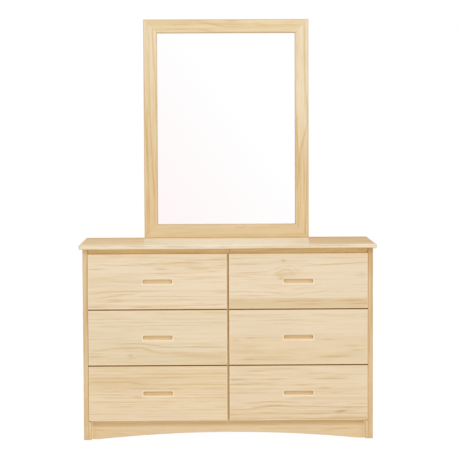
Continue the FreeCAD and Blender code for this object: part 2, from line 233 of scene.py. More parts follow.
growth = {    # scales are along, across and into the board
    "slow": (1.6, 11.0, 11.0),
    "quick": (7.0, 70.0, 70.0),
    "quickShare": 0.12,
    "ringScales": (0.045, 1.0, 1.0),    # makes each ring a very long ellipsoid round the pith
    "widthRate": 0.37,                  # how often the rings' widths change
    "widthSwing": 1.7,                  # and by how much
    "rise": (0.30, 0.90),               # where in a ring the dark starts and is full
    "fall": (0.92, 1.0),                # and where it wanes and ends
    "patches": (0.38, 0.66),            # noise levels where a patch of a ring's line starts and is full
    "faintest": (0.25, 0.22),           # the least strength of a ring, and of its line between patches
    "coarse": (11.0, 60.0, 60.0),
    "fine": (20.0, 140.0, 140.0),
    "fineRings": 3.3,                   # fine rings to a coarse one
    "fineShare": 0.38,
    "fibre": (16.0, 520.0, 520.0),
    "line": (4.0, 150.0, 150.0),
    "cloud": (3.0, 14.0, 14.0),
    "canal": (60.0, 1300.0, 1300.0),
    "canals": (0.70, 0.80),             # noise levels where a resin canal starts and is dark
    "seedSteps": {"coarse": 5.0, "fine": 9.0, "line": 7.0, "cloud": 3.0},
}


def makeRingGroup(setting):
    # Growth rings round a pith that runs along the board: the distance from the pith, pushed about by
    # slow noise, is cut into rings, and each ring darkens slowly and then ends at once.
    tree, start, end = newGroup(
        "growthRings",
        [("Grain", "Vector"), ("Pith", "Vector"), ("Spacing", "Float"), ("Swirl", "Float"),
         ("Lift", "Float"), ("Seed", "Float")],
        [("Late", "Float"), ("Fibre", "Float"), ("Line", "Float"), ("Cloud", "Float"), ("Canal", "Float")],
    )
    grain, seed = start["Grain"], start["Seed"]
    slow = noise(tree, grain, setting["slow"], seed)
    quick = noise(tree, grain, setting["quick"], seed, detail=2.0)
    push = timesPlus(tree, minus(tree, quick, 0.5), setting["quickShare"], minus(tree, slow, 0.5))
    push = timesPlus(tree, push, times(tree, start["Swirl"], 2.0), start["Lift"])
    fromPith = vectorCalc(tree, "SUBTRACT", grain, start["Pith"])
    radius = vectorCalc(tree, "LENGTH", vectorCalc(tree, "MULTIPLY", fromPith, setting["ringScales"]))
    rings = calc(tree, "DIVIDE", plus(tree, radius, push), start["Spacing"])
    inputs = {"W": timesPlus(tree, rings, setting["widthRate"], seed), "Scale": 1.0, "Detail": 0.0}
    widths = put(tree, "TexNoise", inputs, noise_dimensions="1D").outputs[0]
    rings = timesPlus(tree, widths, setting["widthSwing"], rings)

    def ownNoise(name, detail=1.0):
        ownSeed = plus(tree, seed, setting["seedSteps"][name])
        return noise(tree, grain, setting[name], ownSeed, detail=detail)

    def oneSet(value, name):
        # A dark line before each whole number, with a strength of its own, that comes and goes.
        place = calc(tree, "FRACT", value)
        rise = remap(tree, place, *setting["rise"], smooth=True)
        fall = remap(tree, place, *setting["fall"], 1.0, 0.0, smooth=True)
        own = put(tree, "TexWhiteNoise", {"W": plus(tree, calc(tree, "FLOOR", value), seed)},
                  noise_dimensions="1D").outputs["Value"]
        patches = remap(tree, ownNoise(name), *setting["patches"])
        ringLeast, patchLeast = setting["faintest"]
        strength = times(tree, plus(tree, own, ringLeast), plus(tree, patches, patchLeast))
        return times(tree, times(tree, rise, fall), strength)

    coarse = oneSet(rings, "coarse")
    fine = oneSet(times(tree, rings, setting["fineRings"]), "fine")
    plug(tree, end["Late"], timesPlus(tree, fine, setting["fineShare"], coarse))
    fibre = noise(tree, grain, setting["fibre"], seed, detail=3.0, roughness=0.65)
    plug(tree, end["Fibre"], minus(tree, fibre, 0.5))
    plug(tree, end["Line"], minus(tree, ownNoise("line"), 0.5))
    plug(tree, end["Cloud"], minus(tree, ownNoise("cloud", detail=2.0), 0.5))
    canal = noise(tree, grain, setting["canal"], seed, detail=0.0)
    plug(tree, end["Canal"], remap(tree, canal, *setting["canals"]))
    return tree


def makeSwellGroup():
    # Base plus height times exp(-u^2 - v^2), u and v being the distances from a centre along and
    # across the grain in units of the size, v measured from a line of the given slope.
    tree, start, end = newGroup(
        "swell",
        [("Grain", "Vector"), ("Centre", "Vector"), ("Size", "Vector"), ("Slope", "Float"),
         ("Height", "Float"), ("Base", "Float")],
        [("Value", "Float")],
    )
    x, y, _ = split(tree, vectorCalc(tree, "SUBTRACT", start["Grain"], start["Centre"]))
    offset = join(tree, x, minus(tree, y, times(tree, x, start["Slope"])), 0.0)
    unit = vectorCalc(tree, "DIVIDE", offset, start["Size"])
    bell = calc(tree, "EXPONENT", times(tree, vectorCalc(tree, "DOT_PRODUCT", unit, unit), -1.0))
    plug(tree, end["Value"], timesPlus(tree, bell, start["Height"], start["Base"]))
    return tree


ringGroup = makeRingGroup(growth)
swellGroup = makeSwellGroup()


def swell(tree, grain, centre, size, height, base=0.0, slope=0.0):
    inputs = {"Grain": grain, "Centre": (*centre, 0), "Size": (*size, 1), "Slope": slope,
              "Height": height, "Base": base}
    return useGroup(tree, swellGroup, inputs)[0]


pine = {
    "axes": "xzy",                  # along, across and into the board, as axes of the object
    "pale": paint(236, 217, 188),
    "dark": paint(204, 168, 100),
    "tint": (1.0, 1.0, 1.0),
    "seed": 1.0,
    "pith": (0.06, 0.09),           # across and into the board, metres
    "spacing": 0.0125,
    "swirl": 0.007,
    "lifts": [],                    # along, across, length, height, rise of the rings
    "staves": [],                   # start across, pith across, pith depth, seed, tint
    "glue": (0.0005, 0.45),         # width and darkness of the line between two staves
    "sameStave": 0.001,             # rows of the staves' table that differ by less are of one stave
    "contrast": 0.55,               # how dark the rings are
    "lines": 0.30,                  # how dark the faint long lines between them are
    "canals": 0.16,                 # how dark the short resin canals are
    "strokes": [],                  # along, across, length, height, slope, strength
    "torn": 0.005,                  # how far noise bends the strokes, metres
    "tornScales": (22.0, 130.0, 130.0),
    "most": 0.70,                   # the darkest that any mark gets
    "clouds": 0.10,                 # how much the colour changes in broad patches
    "fibres": 0.16,                 # how much it changes from fibre to fibre
    "fade": None,                   # tints of the low and the high end, where it starts, where it ends
    "rim": 0.0,                     # how much of the painted rim colour there is near the arrises: a highlight where pale, a shade where dark
    "rimColour": paint(246, 230, 202),
    "rimReach": (0.0015, 0.0055),   # metres from the arris
    "slot": None,                   # half length, half height and strength of the painted highlight round an opening
    "outline": ((0.0002, 0.0008), (0.003, 0.007)),    # metres from it: the painted highlight grows, and wanes
    "outlineAbove": 0.45,           # how much of that highlight there is over the opening
    "sillLight": (0.0008, 0.0020, 0.8),  # heights where the painted light on its sill wanes and ends, and the strength
    "sillLightEnd": (0.0001, 0.0003),    # metres outside the opening where the sill's painted light wanes and ends
    "arris": None,                  # painted shade: what the colour is multiplied by along the long edges
    "arrisShadeReach": (0.0012, 0.0024),
    "arrisShares": (1.0, 1.0),      # how much of it there is along the low and the high edge
    "endFacing": (0.6, 0.9),        # the normal's part along the grain where end grain starts and is full
    "endGrain": 0.5,                # how much darker the ends are
    "endRough": 0.18,               # and how much duller
    "plies": 0,                     # layers that show at the edges
    "plyBorder": (0.45, 0.55),      # where one layer passes into the next, in layers
    "plyFacing": (0.6, 0.4),        # the normal's part into the board where they start to show and are full
    "plyColour": paint(150, 108, 66),
    "plyStrength": 0.7,
    "flecks": 0.0,                  # short dark dashes along the grain
    "fleckScales": (260.0, 1500.0, 1500.0),
    "fleckLevels": (0.62, 0.70),    # of the noise, where a fleck starts and is dark
    "corners": 1.0,                 # how much of the warm shade there is close to other wood
    "roughness": 0.46,
    "roughClouds": 0.16,            # how much that changes in broad patches
    "roughFibres": 0.22,            # and from fibre to fibre
    "specular": 0.35,
    "relief": (0.35, 0.0004),       # strength and height of the grain's relief
    "ringRelief": -0.35,            # how far the rings stand up in it
}


def boardMiddle(node):
    low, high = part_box(node)
    return (Vector(low) + Vector(high)) / 2, (Vector(high) - Vector(low)) / 2


def boardFrame(tree, node, axes):
    # Where a point lies along, across and into a board, from its middle, and the normal and the
    # board's half sizes in the same order.
    middle, half = boardMiddle(node)
    coordinates = put(tree, "TexCoord").outputs
    place = split(tree, vectorCalc(tree, "SUBTRACT", coordinates["Object"], middle))
    normal = split(tree, coordinates["Normal"])
    order = ["xyz".index(axis) for axis in axes]
    along, across, depth = [place[i] for i in order]
    return {
        "along": along, "across": across, "depth": depth, "grain": join(tree, along, across, depth),
        "normal": [normal[i] for i in order], "half": [half[i] for i in order],
    }


def readStaves(tree, board, look):
    # The pith, seed and tint of the stave that a point is in, and the glue lines between staves.
    # The table holds values from 0 to 1: a place across with 0.5 added, and a hundredth of a seed.
    halfWidth = board["half"][1]
    glueWidth = look["glue"][0]
    share = remap(tree, board["across"], -halfWidth, halfWidth)
    layout, tints = [], []
    for begin, pithAcross, pithDepth, seed, tint in look["staves"]:
        position = max(0.0, (begin + halfWidth) / (2 * halfWidth))
        layout.append((position, (pithAcross + 0.5, pithDepth, seed / 100, 1.0)))
        tints.append((position, (*tint, 1.0)))
    table = colourRamp(tree, share, layout, "CONSTANT")
    beside = colourRamp(tree, plus(tree, share, glueWidth / (2 * halfWidth)), layout, "CONSTANT")
    glue = calc(tree, "GREATER_THAN", vectorCalc(tree, "DISTANCE", table, beside), look["sameStave"])
    pithAcross, pithDepth, seed = split(tree, table)
    pith = join(tree, 0.0, minus(tree, pithAcross, 0.5), pithDepth)
    return pith, times(tree, seed, 100.0), colourRamp(tree, share, tints, "CONSTANT"), glue


def addStrokes(tree, board, look, darkness):
    # Listed marks, each a swell of the darkness that noise bends a little.
    ragged = noise(tree, board["grain"], look["tornScales"], seed=4.0, detail=2.0)
    ragged = timesPlus(tree, minus(tree, ragged, 0.5), look["torn"], board["across"])
    torn = join(tree, board["along"], ragged, board["depth"])
    for x, y, length, height, slope, strength in look["strokes"]:
        darkness = swell(tree, torn, (x, y), (length, height), strength, darkness, slope)
    return darkness


def grainAndShadeColour(tree, board, look, rings):
    # Pale wood, darkened by rings, strokes, canals and lines, with clouds and fibres over it.
    darkness = times(tree, rings["Late"], look["contrast"])
    # a few strokes are painted shade, such as the shadow under the fronts on the apron
    if look["strokes"]:
        darkness = addStrokes(tree, board, look, darkness)
    darkness = timesPlus(tree, rings["Canal"], look["canals"], darkness)
    darkness = timesPlus(tree, rings["Line"], look["lines"], darkness)
    # Strong marks level off: most times tanh(darkness / most).
    darkness = calc(tree, "TANH", calc(tree, "DIVIDE", darkness, look["most"]))
    colour = mixColour(tree, times(tree, darkness, look["most"]), look["pale"], look["dark"])
    shade = timesPlus(tree, rings["Cloud"], look["clouds"], 1.0)
    shade = timesPlus(tree, rings["Fibre"], look["fibres"], shade)
    return vectorCalc(tree, "SCALE", colour, scale=shade)


def fadeTint(tree, board, fade):
    lowTint, highTint, begin, finish = fade    # the places are in half lengths
    halfLength = board["half"][0]
    level = remap(tree, board["along"], begin * halfLength, finish * halfLength, smooth=True)
    return mixColour(tree, level, (*lowTint, 1), (*highTint, 1))


def rimShare(tree, board, look):
    # Painted rim, full along the edges of the face and none further in: a highlight where its colour is
    # pale, a shade where it is dark.
    inset = [minus(tree, size, calc(tree, "ABSOLUTE", value))
             for size, value in zip(board["half"], (board["along"], board["across"]))]
    near, far = look["rimReach"]
    return remap(tree, calc(tree, "MINIMUM", *inset), near, far, look["rim"], 0.0, smooth=True)


def slotLightShares(tree, board, look):
    # Painted light: how much of the rim colour there is as a highlight round an opening, less of it above,
    # and on its sill.
    halfLength, halfHeight, strength = look["slot"]
    outside = [calc(tree, "MAXIMUM", minus(tree, calc(tree, "ABSOLUTE", value), size), 0.0)
               for value, size in ((board["along"], halfLength), (board["across"], halfHeight))]
    away = vectorCalc(tree, "LENGTH", join(tree, *outside, 0.0))
    grows, wanes = look["outline"]
    outline = times(tree, remap(tree, away, *grows), remap(tree, away, *wanes, 1.0, 0.0))
    above = remap(tree, board["across"], -halfHeight, halfHeight, 1.0, look["outlineAbove"])
    outline = times(tree, times(tree, outline, above), strength)
    low, high, sillStrength = look["sillLight"]
    sillLight = remap(tree, plus(tree, board["across"], halfHeight), low, high, sillStrength, 0.0)
    return outline, times(tree, sillLight, remap(tree, away, *look["sillLightEnd"], 1.0, 0.0))


def arrisShare(tree, board, look):
    # Painted shade along the long edges. Each has its own share, which ends a little further in.
    near, far = look["arrisShadeReach"]
    edges = [remap(tree, calc(tree, operation, board["half"][1], board["across"]), near, far, share, 0.0)
             for operation, share in zip(("ADD", "SUBTRACT"), look["arrisShares"])]
    return calc(tree, "MAXIMUM", *edges)


def plyShare(tree, board, look):
    # Every other layer, as seen at the edges of the sheet.
    halfDepth = board["half"][2]
    layer = remap(tree, board["depth"], -halfDepth, halfDepth, 0.0, look["plies"])
    layer = remap(tree, calc(tree, "PINGPONG", layer, 1.0), *look["plyBorder"])
    side = remap(tree, calc(tree, "ABSOLUTE", board["normal"][2]), *look["plyFacing"])
    return times(tree, times(tree, layer, side), look["plyStrength"])


def fleckShare(tree, board, look, seed):
    fleck = noise(tree, board["grain"], look["fleckScales"], seed, detail=0.0)
    return times(tree, remap(tree, fleck, *look["fleckLevels"]), look["flecks"])


cornerShade = {
    "reach": 0.045,              # metres within which other wood counts
    "samples": 8,
    "upright": (0.3, 0.7),       # the normal's upward part where a face stops being upright and is level
    "uprightSky": 0.30,          # the least share of open sky that an upright face has
    "stops": [                   # share of open sky, and what the colour is multiplied by
        (0.0, (0.84, 0.49, 0.19, 1)),
        (0.12, (0.82, 0.54, 0.25, 1)),
        (0.28, (0.945, 0.79, 0.52, 1)),
        (0.51, (0.975, 0.87, 0.65, 1)),
        (0.70, (0.97, 0.89, 0.71, 1)),
        (0.97, (1, 1, 1, 1)),
    ],
}


def shadeCorners(tree, colour, strength, setting):
    # Painted shade: close to other wood the colour is made dimmer and warmer, like light gone from board to
    # board.
    # Upright faces keep part of the light that comes straight in from the front.
    inputs = {"Distance": setting["reach"]}
    sky = put(tree, "AmbientOcclusion", inputs, samples=setting["samples"]).outputs["AO"]
    level = calc(tree, "ABSOLUTE", split(tree, put(tree, "NewGeometry").outputs["True Normal"])[2])
    sky = calc(tree, "MAXIMUM", sky, remap(tree, level, *setting["upright"], setting["uprightSky"], 0.0))
    return mixColour(tree, strength, colour, colourRamp(tree, sky, setting["stops"]), "MULTIPLY")


def finishWood(tree, shader, look, rings, endGrain):
    # The grain shows in the gloss and the relief too, and end grain is duller.
    roughness = timesPlus(tree, rings["Cloud"], look["roughClouds"], look["roughness"])
    roughness = timesPlus(tree, rings["Fibre"], look["roughFibres"], roughness)
    plug(tree, shader.inputs["Roughness"], timesPlus(tree, endGrain, look["endRough"], roughness))
    shader.inputs["Specular IOR Level"].default_value = look["specular"]
    strength, height = look["relief"]
    relief = timesPlus(tree, rings["Late"], look["ringRelief"], rings["Fibre"])
    bump = put(tree, "Bump", {"Height": relief, "Strength": strength, "Distance": height})
    plug(tree, shader.inputs["Normal"], bump.outputs[0])


def woodMaterial(name, node, **changes):
    look = {**pine, **changes}
    material, tree, shader = newMaterial(name)
    board = boardFrame(tree, node, look["axes"])
    if look["staves"]:
        pith, seed, tint, glue = readStaves(tree, board, look)
    else:
        pith, seed, tint, glue = (0.0, *look["pith"]), look["seed"], (*look["tint"], 1.0), None
    lift = 0.0
    for x, y, length, height, rise in look["lifts"]:
        lift = swell(tree, board["grain"], (x, y), (length, height), rise, lift)
    rings = useGroup(tree, ringGroup, {"Grain": board["grain"], "Pith": pith, "Spacing": look["spacing"],
                                       "Swirl": look["swirl"], "Lift": lift, "Seed": seed})
    colour = mixColour(tree, 1.0, grainAndShadeColour(tree, board, look, rings), tint, "MULTIPLY")
    if look["fade"]:
        colour = mixColour(tree, 1.0, colour, fadeTint(tree, board, look["fade"]), "MULTIPLY")
    if glue is not None:
        colour = mixColour(tree, times(tree, glue, look["glue"][1]), colour, look["dark"])
    # the rim colour near the arrises: a painted highlight on the fronts, a painted shade on the mirror
    # frame
    if look["rim"]:
        colour = mixColour(tree, rimShare(tree, board, look), colour, look["rimColour"])
    # a painted highlight round the finger slot
    if look["slot"]:
        outline, sillLight = slotLightShares(tree, board, look)
        colour = mixColour(tree, outline, colour, look["rimColour"])
    # painted shade along the long edges
    if look["arris"]:
        colour = mixColour(tree, arrisShare(tree, board, look), colour, (*look["arris"], 1), "MULTIPLY")
    endGrain = remap(tree, calc(tree, "ABSOLUTE", board["normal"][0]), *look["endFacing"])
    colour = mixColour(tree, times(tree, endGrain, look["endGrain"]), colour, look["dark"])
    if look["plies"]:
        colour = mixColour(tree, plyShare(tree, board, look), colour, look["plyColour"])
    if look["flecks"]:
        colour = mixColour(tree, fleckShare(tree, board, look, seed), colour, look["dark"])
    # painted shade close to other wood
    if look["corners"]:
        colour = shadeCorners(tree, colour, look["corners"], cornerShade)
    # painted light on the slot's sill, laid over the corner shade
    if look["slot"]:
        colour = mixColour(tree, sillLight, colour, look["rimColour"])
    plug(tree, shader.inputs["Base Color"], colour)
    finishWood(tree, shader, look, rings, endGrain)
    return material


def dressWood(node, name, **changes):
    dress(node, woodMaterial(name, node, **changes))


# drawer fronts, each with its own grain

fronts = {
    "top_left_drawer_front": {
        "seed": 11.0, "pith": (0.05, 0.16), "spacing": 0.0125, "swirl": 0.007, "contrast": 0.22,
        "lines": 1.00,
        "lifts": [(0.09, 0.07, 0.1, 0.03, 0.008), (-0.12, -0.052, 0.09, 0.022, 0.01)],
        "strokes": [
            (0.06, 0.074, 0.069, 0.0028, 0.04, 0.74), (0.12, 0.076, 0.057, 0.0026, -0.05, 0.81),
            (0.165, 0.054, 0.04, 0.0028, 0.0, 0.69), (0.012, 0.052, 0.023, 0.005, 0.0, 0.49),
            (0.024, 0.033, 0.052, 0.002, 0.0, 0.78), (0.15, 0.035, 0.069, 0.0018, 0.03, 0.45),
            (-0.03, 0.073, 0.034, 0.002, 0.1, 0.56), (-0.13, 0.066, 0.057, 0.0018, 0.0, 0.65),
            (-0.25, 0.051, 0.04, 0.0032, 0.0, 0.74), (-0.065, 0.089, 0.057, 0.0018, 0.0, 0.49),
            (0.25, 0.089, 0.046, 0.0035, 0.0, 0.53), (-0.235, -0.045, 0.052, 0.0022, 0.08, 0.81),
            (-0.12, -0.038, 0.069, 0.002, 0.0, 0.69), (-0.205, -0.061, 0.04, 0.002, 0.1, 0.85),
            (-0.13, -0.0505, 0.052, 0.0024, 0.03, 0.9), (-0.061, -0.102, 0.025, 0.0024, 0.04, 1.23),
            (-0.1, -0.076, 0.2, 0.022, 0.0, 0.14), (0.06, -0.06, 0.11, 0.0016, 0.0, 0.53),
            (-0.17, -0.075, 0.022, 0.0055, 0.0, 0.35), (0.22, 0.04, 0.022, 0.0018, 0.0, 0.5),
            (0.09, 0.02, 0.035, 0.0014, 0.0, 0.43), (0.14, 0.009, 0.035, 0.0014, 0.0, 0.4),
            (0.08, -0.099, 0.127, 0.0016, 0.03, 0.61), (0.262, -0.044, 0.032, 0.0022, 0.0, 0.69),
            (0.1, -0.074, 0.046, 0.002, 0.02, 0.74), (0.225, -0.094, 0.057, 0.002, 0.02, 0.74),
            (-0.265, -0.102, 0.029, 0.0022, 0.0, 0.74), (-0.19, -0.082, 0.046, 0.0018, 0.0, 0.49),
            (-0.02, 0.098, 0.07, 0.0017, 0.0, 0.42), (-0.215, 0.07, 0.035, 0.0018, 0.0, 0.4),
            (0.262, 0.064, 0.025, 0.002, 0.0, 0.42), (-0.045, -0.0585, 0.06, 0.0018, -0.02, 0.48),
            (-0.04, -0.037, 0.05, 0.0018, 0.0, 0.48), (0.265, -0.036, 0.022, 0.0016, 0.0, 0.4),
            (0.07, -0.108, 0.12, 0.0016, 0.0, 0.4), (0.015, -0.071, 0.06, 0.0015, 0.0, 0.36),
            (-0.235, -0.004, 0.022, 0.0016, 0.0, 0.28), (-0.15, 0.001, 0.05, 0.0014, 0.0, 0.24),
            (0.17, 0.087, 0.08, 0.0016, 0.0, 0.36), (-0.14, 0.033, 0.11, 0.0015, 0.0, 0.26),
            (-0.2335, -0.098, 0.05, 0.011, 0.0, 0.17), (-0.165, -0.0586, 0.026, 0.0055, 0.0, 0.26),
            (0.1665, -0.087, 0.03, 0.0055, 0.0, 0.26),
        ],
    },
    "top_right_drawer_front": {
        "seed": 23.0, "spacing": 0.0165, "swirl": 0.006, "contrast": 0.30, "lines": 0.60,
        "staves": [
            (-0.1120, 0.02, 0.14, 31.0, (0.89, 0.825, 0.70)),
            (-0.0715, 0.032, 0.012, 24.0, (0.98, 0.985, 0.99)),
        ],
        "strokes": [
            (-0.06, 0.083, 0.007, 0.004, 0.0, 0.84), (0.16, 0.0685, 0.138, 0.002, 0.045, 0.97),
            (0.17, 0.094, 0.081, 0.0017, 0.0, 0.59), (-0.215, 0.07, 0.086, 0.0018, 0.0, 0.66),
            (-0.26, 0.092, 0.046, 0.003, 0.0, 0.47), (-0.19, 0.036, 0.081, 0.0018, 0.06, 0.53),
            (-0.23, 0.019, 0.069, 0.0022, -0.08, 0.41), (-0.043, 0.027, 0.039, 0.017, 0.0, 0.26),
            (-0.069, 0.01, 0.011, 0.0034, 0.0, 0.97), (-0.03, 0.043, 0.046, 0.0018, 0.0, 0.41),
            (-0.24, -0.042, 0.057, 0.002, 0.0, 0.56), (-0.18, -0.058, 0.057, 0.0018, 0.0, 0.62),
            (-0.09, -0.05, 0.04, 0.0018, -0.18, 0.41), (0.01, -0.03, 0.052, 0.0018, 0.16, 0.37),
            (0.08, -0.044, 0.069, 0.0018, 0.1, 0.35), (0.225, -0.079, 0.046, 0.0026, 0.0, 0.66),
            (0.255, -0.091, 0.046, 0.0024, 0.03, 0.74), (-0.05, -0.082, 0.069, 0.0015, 0.03, 0.59),
            (0.05, -0.093, 0.052, 0.0018, 0.0, 0.5), (0.255, 0.025, 0.021, 0.012, 0.0, 0.29),
            (-0.09, 0.052, 0.022, 0.0018, 0.35, 0.34), (-0.045, 0.061, 0.025, 0.0018, 0.0, 0.36),
            (-0.008, 0.047, 0.013, 0.0022, -0.6, 0.32), (-0.08, 0.037, 0.018, 0.002, 0.4, 0.5),
            (-0.05, 0.0475, 0.016, 0.0026, 0.0, 0.42), (-0.028, 0.036, 0.009, 0.0024, -0.9, 0.4),
            (-0.076, 0.024, 0.017, 0.0065, 0.0, 0.42), (-0.17, 0.006, 0.04, 0.0018, -0.12, 0.3),
            (0.045, 0.074, 0.015, 0.0018, -0.45, 0.36), (-0.01, 0.083, 0.045, 0.0015, 0.0, 0.26),
            (-0.115, -0.0275, 0.035, 0.0016, -0.22, 0.34), (0.0, -0.053, 0.03, 0.0016, 0.2, 0.32),
        ],
    },
    "middle_left_drawer_front": {
        "seed": 37.0, "pith": (-0.30, 0.10), "spacing": 0.0105, "swirl": 0.004,
        "contrast": 0.28, "lines": 0.80,
        "tint": (0.972, 0.980, 0.955),
        "lifts": [(-0.09, -0.055, 0.09, 0.03, 0.013), (-0.105, -0.072, 0.018, 0.012, 0.006)],
        "strokes": [
            (-0.105, -0.0235, 0.057, 0.0018, 0.0, 0.83), (-0.01, -0.031, 0.057, 0.0018, -0.11, 0.79),
            (0.16, -0.0378, 0.149, 0.0017, 0.0, 0.67), (0.185, -0.038, 0.057, 0.0022, 0.0, 0.4),
            (-0.12, -0.041, 0.063, 0.003, 0.0, 0.69), (-0.035, -0.05, 0.039, 0.0028, -0.25, 0.69),
            (0.05, -0.062, 0.063, 0.0024, 0.0, 0.44), (-0.11, -0.072, 0.01, 0.0042, 0.0, 0.79),
            (-0.105, -0.083, 0.016, 0.002, 0.0, 0.86), (-0.245, -0.076, 0.046, 0.0022, 0.05, 0.54),
            (-0.268, -0.074, 0.023, 0.005, 0.0, 0.36), (-0.22, -0.048, 0.069, 0.003, 0.03, 0.4),
            (-0.17, 0.0455, 0.138, 0.0014, 0.0, 0.57), (0.02, 0.0505, 0.103, 0.0014, 0.0, 0.57),
            (-0.03, 0.033, 0.161, 0.0014, 0.0, 0.4), (0.16, -0.0235, 0.138, 0.0014, 0.0, 0.46),
            (0.14, -0.072, 0.057, 0.007, 0.0, 0.2), (0.24, -0.08, 0.057, 0.01, 0.0, 0.3),
            (0.0, -0.085, 0.45, 0.04, 0.0, 0.19), (0.265, -0.102, 0.03, 0.011, 0.0, 0.17),
        ],
    },
    "middle_right_drawer_front": {
        "seed": 41.0, "spacing": 0.0115, "swirl": 0.005, "contrast": 0.24, "lines": 0.50,
        "staves": [
            (-0.1120, -0.02, 0.10, 47.0, (0.945, 0.92, 0.85)),
            (0.0025, -0.25, 0.12, 43.0, (0.98, 0.98, 0.97)),
        ],
        "strokes": [
            (-0.14, -0.089, 0.099, 0.004, 0.0, 0.46), (-0.2, -0.089, 0.024, 0.0036, 0.0, 0.53),
            (0.15, -0.081, 0.04, 0.0032, 0.02, 0.52), (0.15, -0.077, 0.088, 0.006, 0.06, 0.25),
            (0.235, -0.0545, 0.018, 0.003, 0.0, 0.52), (0.22, -0.036, 0.028, 0.004, -0.05, 0.36),
            (-0.193, -0.0035, 0.015, 0.0036, 0.0, 0.53), (-0.17, -0.0005, 0.11, 0.0016, 0.0, 0.36),
            (0.115, -0.01, 0.033, 0.004, -0.03, 0.33), (0.19, 0.087, 0.066, 0.0018, 0.0, 0.48),
            (0.085, 0.089, 0.044, 0.0018, 0.0, 0.33), (-0.2, 0.085, 0.088, 0.0016, 0.0, 0.36),
            (-0.09, 0.07, 0.066, 0.0018, 0.06, 0.4), (-0.06, 0.055, 0.055, 0.0016, 0.02, 0.4),
            (0.08, 0.0615, 0.033, 0.0016, 0.0, 0.4), (-0.2, -0.045, 0.077, 0.02, 0.0, 0.17),
            (-0.01, -0.05, 0.066, 0.008, 0.0, 0.15), (-0.255, -0.012, 0.022, 0.005, 0.0, 0.28),
        ],
    },
    "bottom_left_drawer_front": {
        "seed": 53.0, "pith": (0.34, 0.10), "spacing": 0.0118, "swirl": 0.003, "contrast": 0.36,
        "lines": 0.65,
        "tint": (0.993, 0.972, 0.92),
        "lifts": [(-0.19, 0.05, 0.12, 0.03, -0.006)],
        "strokes": [
            (-0.19, 0.0635, 0.099, 0.0022, 0.0, 0.56), (0.035, 0.065, 0.099, 0.002, 0.0, 0.56),
            (-0.2, 0.0478, 0.099, 0.0026, -0.01, 0.72), (-0.09, 0.0425, 0.037, 0.0024, -0.12, 0.65),
            (0.1, 0.0355, 0.187, 0.002, 0.0, 0.62), (0.24, 0.0355, 0.055, 0.0024, 0.0, 0.38),
            (-0.2, 0.031, 0.099, 0.002, -0.02, 0.5), (-0.04, 0.02, 0.055, 0.0026, 0.0, 0.72),
            (0.07, 0.019, 0.033, 0.0026, 0.0, 0.6), (0.22, 0.018, 0.066, 0.0024, 0.0, 0.62),
            (-0.17, 0.0085, 0.066, 0.0016, 0.0, 0.4), (-0.08, -0.015, 0.022, 0.003, -0.05, 0.5),
            (0.22, 0.09, 0.066, 0.01, 0.0, 0.18), (0.0, 0.062, 0.5, 0.045, 0.0, 0.17),
            (0.18, -0.066, 0.066, 0.0018, 0.0, 0.35), (-0.15, -0.052, 0.066, 0.0018, 0.0, 0.33),
        ],
    },
    "bottom_right_drawer_front": {
        "seed": 67.0, "pith": (0.10, 0.15), "spacing": 0.0130, "swirl": 0.006, "contrast": 0.36,
        "lines": 0.95,
        "most": 0.82, "tint": (0.975, 0.958, 0.928),
        "lifts": [(-0.13, -0.055, 0.1, 0.028, 0.01)],
        "strokes": [
            (0.17, -0.0765, 0.016, 0.0034, 0.1, 2.4), (-0.245, -0.067, 0.046, 0.002, 0.02, 0.73),
            (-0.16, -0.0585, 0.046, 0.0024, 0.07, 0.76), (-0.09, -0.0535, 0.063, 0.0026, 0.0, 0.81),
            (0.06, -0.056, 0.115, 0.0018, -0.02, 0.55), (-0.19, -0.043, 0.034, 0.0018, 0.05, 0.62),
            (-0.115, -0.036, 0.057, 0.0024, 0.02, 0.81), (-0.03, -0.039, 0.046, 0.002, -0.05, 0.55),
            (0.1, -0.0435, 0.052, 0.002, 0.0, 0.62), (0.24, -0.0455, 0.052, 0.0022, 0.0, 0.92),
            (0.23, -0.058, 0.057, 0.0018, 0.0, 0.74), (-0.25, 0.056, 0.04, 0.0028, 0.0, 0.69),
            (-0.1, 0.056, 0.046, 0.0032, 0.0, 0.53), (0.125, 0.0575, 0.063, 0.0026, 0.0, 0.76),
            (-0.235, 0.035, 0.057, 0.0028, 0.0, 0.81), (-0.13, 0.034, 0.069, 0.0016, 0.0, 0.47),
            (0.015, 0.033, 0.029, 0.0024, 0.0, 0.62), (0.105, 0.0215, 0.021, 0.003, 0.0, 0.53),
            (0.155, 0.0, 0.029, 0.0014, 0.0, 0.62), (-0.175, 0.0905, 0.04, 0.0024, 0.0, 0.53),
            (-0.05, 0.099, 0.057, 0.002, 0.0, 0.47), (-0.22, -0.106, 0.069, 0.0018, 0.0, 0.69),
            (0.06, -0.085, 0.138, 0.0018, 0.01, 0.53), (0.14, -0.106, 0.149, 0.0034, 0.01, 0.81),
            (0.0, -0.09, 0.5, 0.025, 0.0, 0.16),
        ],
    },
}

# the pale rim is a painted highlight along the fronts' arrises and round their slots
frontEdges = {"rim": 0.55, "slot": (0.059, 0.0085, 1.0), "arris": (0.77, 0.61, 0.39)}
# the painted arris shade lies only along edges next to the gaps between fronts
arrisShares = {"top": (1.0, 0.0), "middle": (1.0, 1.0), "bottom": (0.3, 1.0)}
for node, look in fronts.items():
    shares = arrisShares[node.split("_")[0]]
    dressWood(node, node + "Pine", arrisShares=shares, **frontEdges, **look)
print("dressed the drawer fronts")


# top board and side panels

def stavesAcross(halfWidth, count, seed, tints):
    # Equal staves across a glued panel. Each has its own seed, a pith up to 0.6 of its width from
    # its middle and 30 to 200 mm deep, and a tint from the list.
    draw = np.random.default_rng(seed)
    starts = np.linspace(-halfWidth, halfWidth, count + 1)[:-1]
    width = 2 * halfWidth / count
    staves = []
    for i, begin in enumerate(starts):
        pithAcross = begin + width / 2 + draw.uniform(-0.6, 0.6) * width
        staves.append((float(begin), float(pithAcross), float(draw.uniform(0.03, 0.20)),
                       float(draw.uniform(1, 99)), tints[i % len(tints)]))
    return staves


